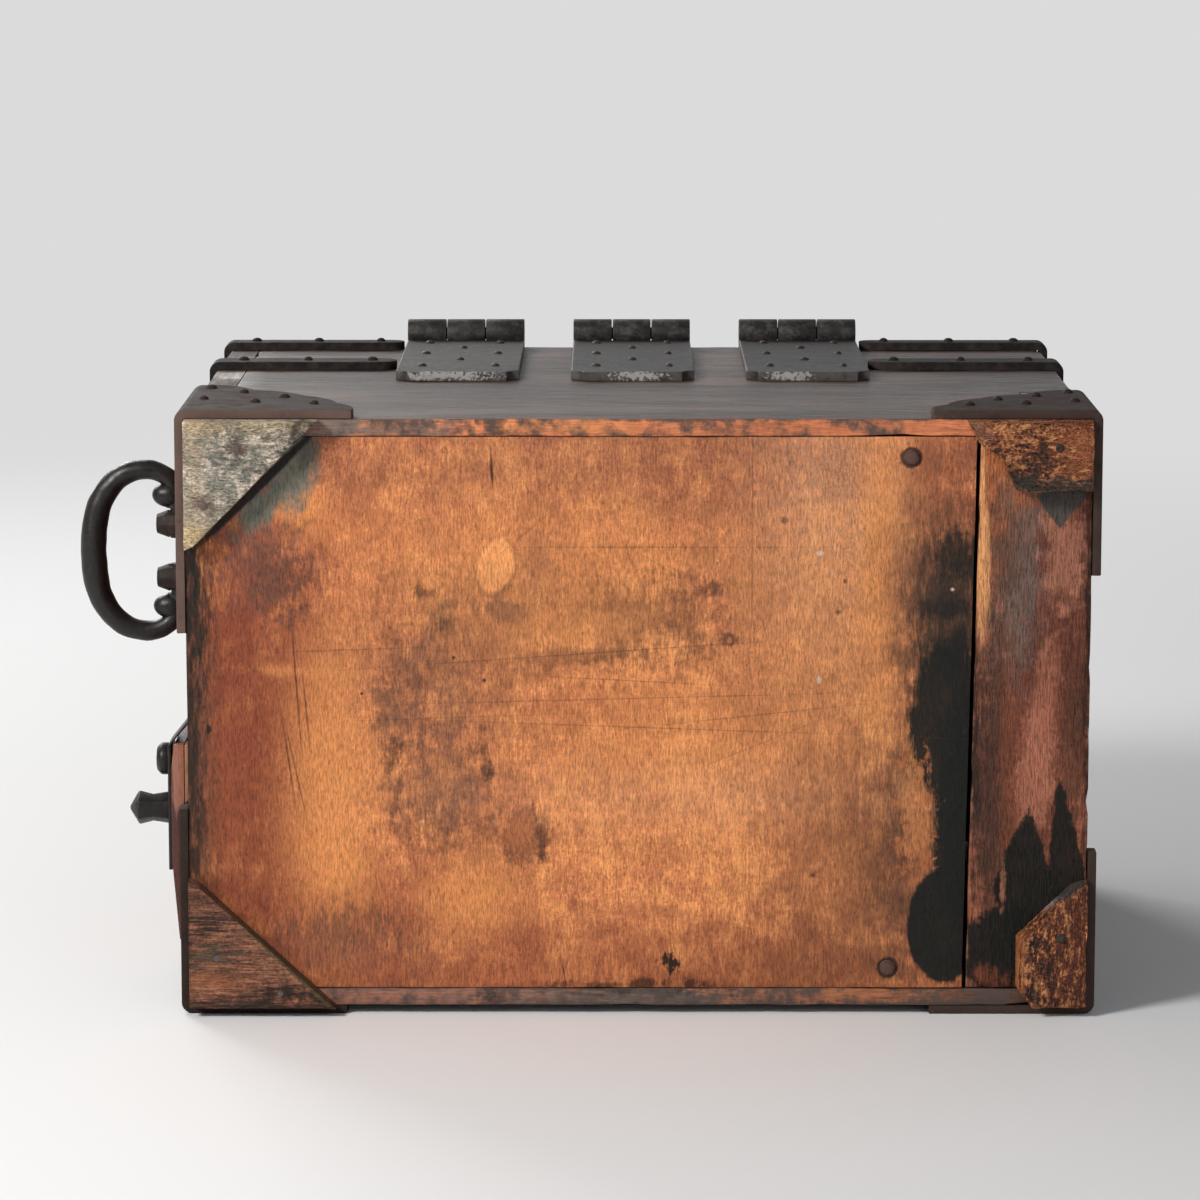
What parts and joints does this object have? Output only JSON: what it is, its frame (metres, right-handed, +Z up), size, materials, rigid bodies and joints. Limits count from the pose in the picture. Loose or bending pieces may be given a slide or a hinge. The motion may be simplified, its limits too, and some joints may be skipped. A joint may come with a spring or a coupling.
{
  "type": "ship chest",
  "caption": "Iron-bound wooden ship chest with a strap-hinged door, a bail handle, wooden corner blocks and an inner shelf.",
  "frame": {"origin": "centre of the bounding box at the floor, with the chest lying on one long side as pictured", "axes": "+Z up, +Y from the back panel with its corner blocks towards the hinged door, +X from the handle side towards the plain end"},
  "size_m": [0.5502, 0.3678, 0.3316],
  "materials": {
    "warm_wood": "worn oil and lacquer",
    "dark_wood": "dark worn lacquer",
    "inner_wood": "bare",
    "worn_wood": "weathered, greenish",
    "broken_wood": "broken and worn",
    "lacquer": "red-brown lacquer",
    "raw_wood": "sawn",
    "rusted_iron": "wrought, rusted",
    "steel_grey": "wrought, worn bright at the edges",
    "black_iron": "wrought, blackened"
  },
  "bodies": {
    "case": {"case_top_board": "dark_wood", "case_corner_patch": "dark_wood", "case_bottom_board": "dark_wood", "case_left_board": "warm_wood", "case_right_board": "warm_wood", "case_shelf": "inner_wood", "back_panel_main": "warm_wood", "back_panel_strip": "warm_wood", "panel_nail_upper": "rusted_iron", "panel_nail_lower": "rusted_iron", "foot_top_left": "worn_wood", "foot_bottom_left": "broken_wood", "foot_top_right": "broken_wood", "foot_bottom_right": "broken_wood", "corner_iron_top_left": "rusted_iron", "corner_iron_top_right": "rusted_iron", "corner_iron_bottom_left": "rusted_iron", "corner_iron_bottom_right": "rusted_iron", "band_near_top_left": "rusted_iron", "band_near_top_right": "rusted_iron", "band_near_bottom_left": "rusted_iron", "band_near_bottom_right": "rusted_iron", "band_far_top_left": "rusted_iron", "band_far_top_right": "rusted_iron", "band_far_bottom_left": "rusted_iron", "band_far_bottom_right": "rusted_iron", "hinge_1_case_leaf": "steel_grey", "hinge_1_pin": "steel_grey", "hinge_2_case_leaf": "steel_grey", "hinge_2_pin": "steel_grey", "hinge_3_case_leaf": "steel_grey", "hinge_3_pin": "steel_grey", "handle_post_lower": "black_iron", "handle_post_upper": "black_iron", "handle_washer_lower": "black_iron", "handle_washer_upper": "black_iron", "guard_bar": "lacquer", "guard_spacer_upper": "raw_wood", "guard_spacer_lower": "raw_wood", "guard_strap": "black_iron", "guard_stud": "black_iron"},
    "door": {"door_board": "warm_wood", "door_batten_left": "inner_wood", "door_batten_right": "inner_wood", "door_corner_iron_top_left": "rusted_iron", "door_corner_iron_top_right": "rusted_iron", "door_corner_iron_bottom_left": "rusted_iron", "door_corner_iron_bottom_right": "rusted_iron", "hinge_1_door_leaf": "steel_grey", "hinge_2_door_leaf": "steel_grey", "hinge_3_door_leaf": "steel_grey", "lock_plate": "steel_grey", "lock_case": "black_iron"},
    "bolt": {"lock_bolt": "black_iron"},
    "bail": {"handle_bail": "black_iron"},
    "post": {"turn_post": "black_iron"}
  },
  "joints": [
    {"name": "door_hinge", "type": "hinge", "parent": "case", "child": "door", "pos_m": [0.0308, 0.17345, 0.32335], "axis": [1, 0, 0], "range_deg": [0, 180]},
    {"name": "bolt_slide", "type": "slide", "parent": "door", "child": "bolt", "axis": [0, 0, -1], "range_m": [0, 0.016]},
    {"name": "bail_swing", "type": "hinge", "parent": "case", "child": "bail", "pos_m": [-0.2219, -0.0016, 0.2208], "axis": [0, 0, 1], "range_deg": [-85, 85]},
    {"name": "post_turn", "type": "hinge", "parent": "case", "child": "post", "pos_m": [-0.2205, -0.0756, 0.0908], "axis": [1, 0, 0], "range_deg": [0, 90]}
  ]
}
